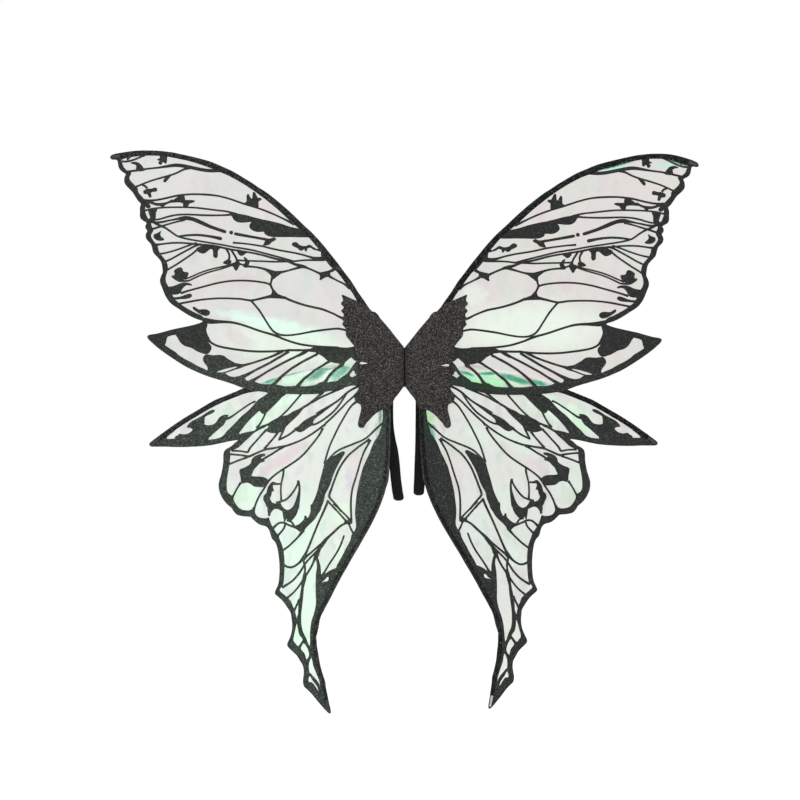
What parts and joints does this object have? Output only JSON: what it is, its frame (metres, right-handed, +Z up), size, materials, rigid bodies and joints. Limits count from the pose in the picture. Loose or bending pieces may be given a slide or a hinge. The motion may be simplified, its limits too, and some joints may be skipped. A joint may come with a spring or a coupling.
{
  "type": "costume fairy wings",
  "caption": "Butterfly-shaped costume wings of printed clear film on edge wires, folding about a felt-covered root, with two elastic shoulder straps.",
  "frame": {"origin": "on the rear face of the back panel, where it rests on the wearer's back, at mid-height of the root", "axes": "+Z up, -Y away from the wearer towards the viewer of the printed face, +X to the right of that viewer"},
  "size_m": [0.8794, 0.0867, 0.846],
  "materials": {
    "panel": "matte",
    "strap": "matte",
    "patch": "matte",
    "felt": "matte",
    "film": "glossy",
    "glitter": "satin",
    "wire": "brushed",
    "binding": "satin",
    "cap": "gloss"
  },
  "bodies": {
    "back": {"back_panel": "panel", "spine_fold": "panel", "left_strap": "strap", "right_strap": "strap", "left_strap_top_patch": "patch", "left_strap_low_patch": "patch", "right_strap_top_patch": "patch", "right_strap_low_patch": "patch"},
    "left_wing": {"left_root_cover": "felt", "left_root_backing": "felt", "left_upper_film": "film", "left_upper_print": "glitter", "left_upper_wire": "wire", "left_upper_binding": "binding", "left_upper_tip_cap": "cap", "left_lower_film": "film", "left_lower_print": "glitter", "left_lower_wire": "wire", "left_lower_binding": "binding", "left_lower_tip_cap": "cap", "left_tail_wire": "wire", "left_tail_binding": "binding", "left_tail_tip_cap": "cap"},
    "right_wing": {"right_root_cover": "felt", "right_root_backing": "felt", "right_upper_film": "film", "right_upper_print": "glitter", "right_upper_wire": "wire", "right_upper_binding": "binding", "right_upper_tip_cap": "cap", "right_lower_film": "film", "right_lower_print": "glitter", "right_lower_wire": "wire", "right_lower_binding": "binding", "right_lower_tip_cap": "cap", "right_tail_wire": "wire", "right_tail_binding": "binding", "right_tail_tip_cap": "cap"}
  },
  "joints": [
    {"name": "left_wing_fold", "type": "hinge", "parent": "back", "child": "left_wing", "pos_m": [0, -0.0118, 0], "axis": [0, 0, 1], "range_deg": [-5, 65]},
    {"name": "right_wing_fold", "type": "hinge", "parent": "back", "child": "right_wing", "pos_m": [0, -0.0118, 0], "axis": [0, 0, -1], "range_deg": [-5, 65]}
  ]
}
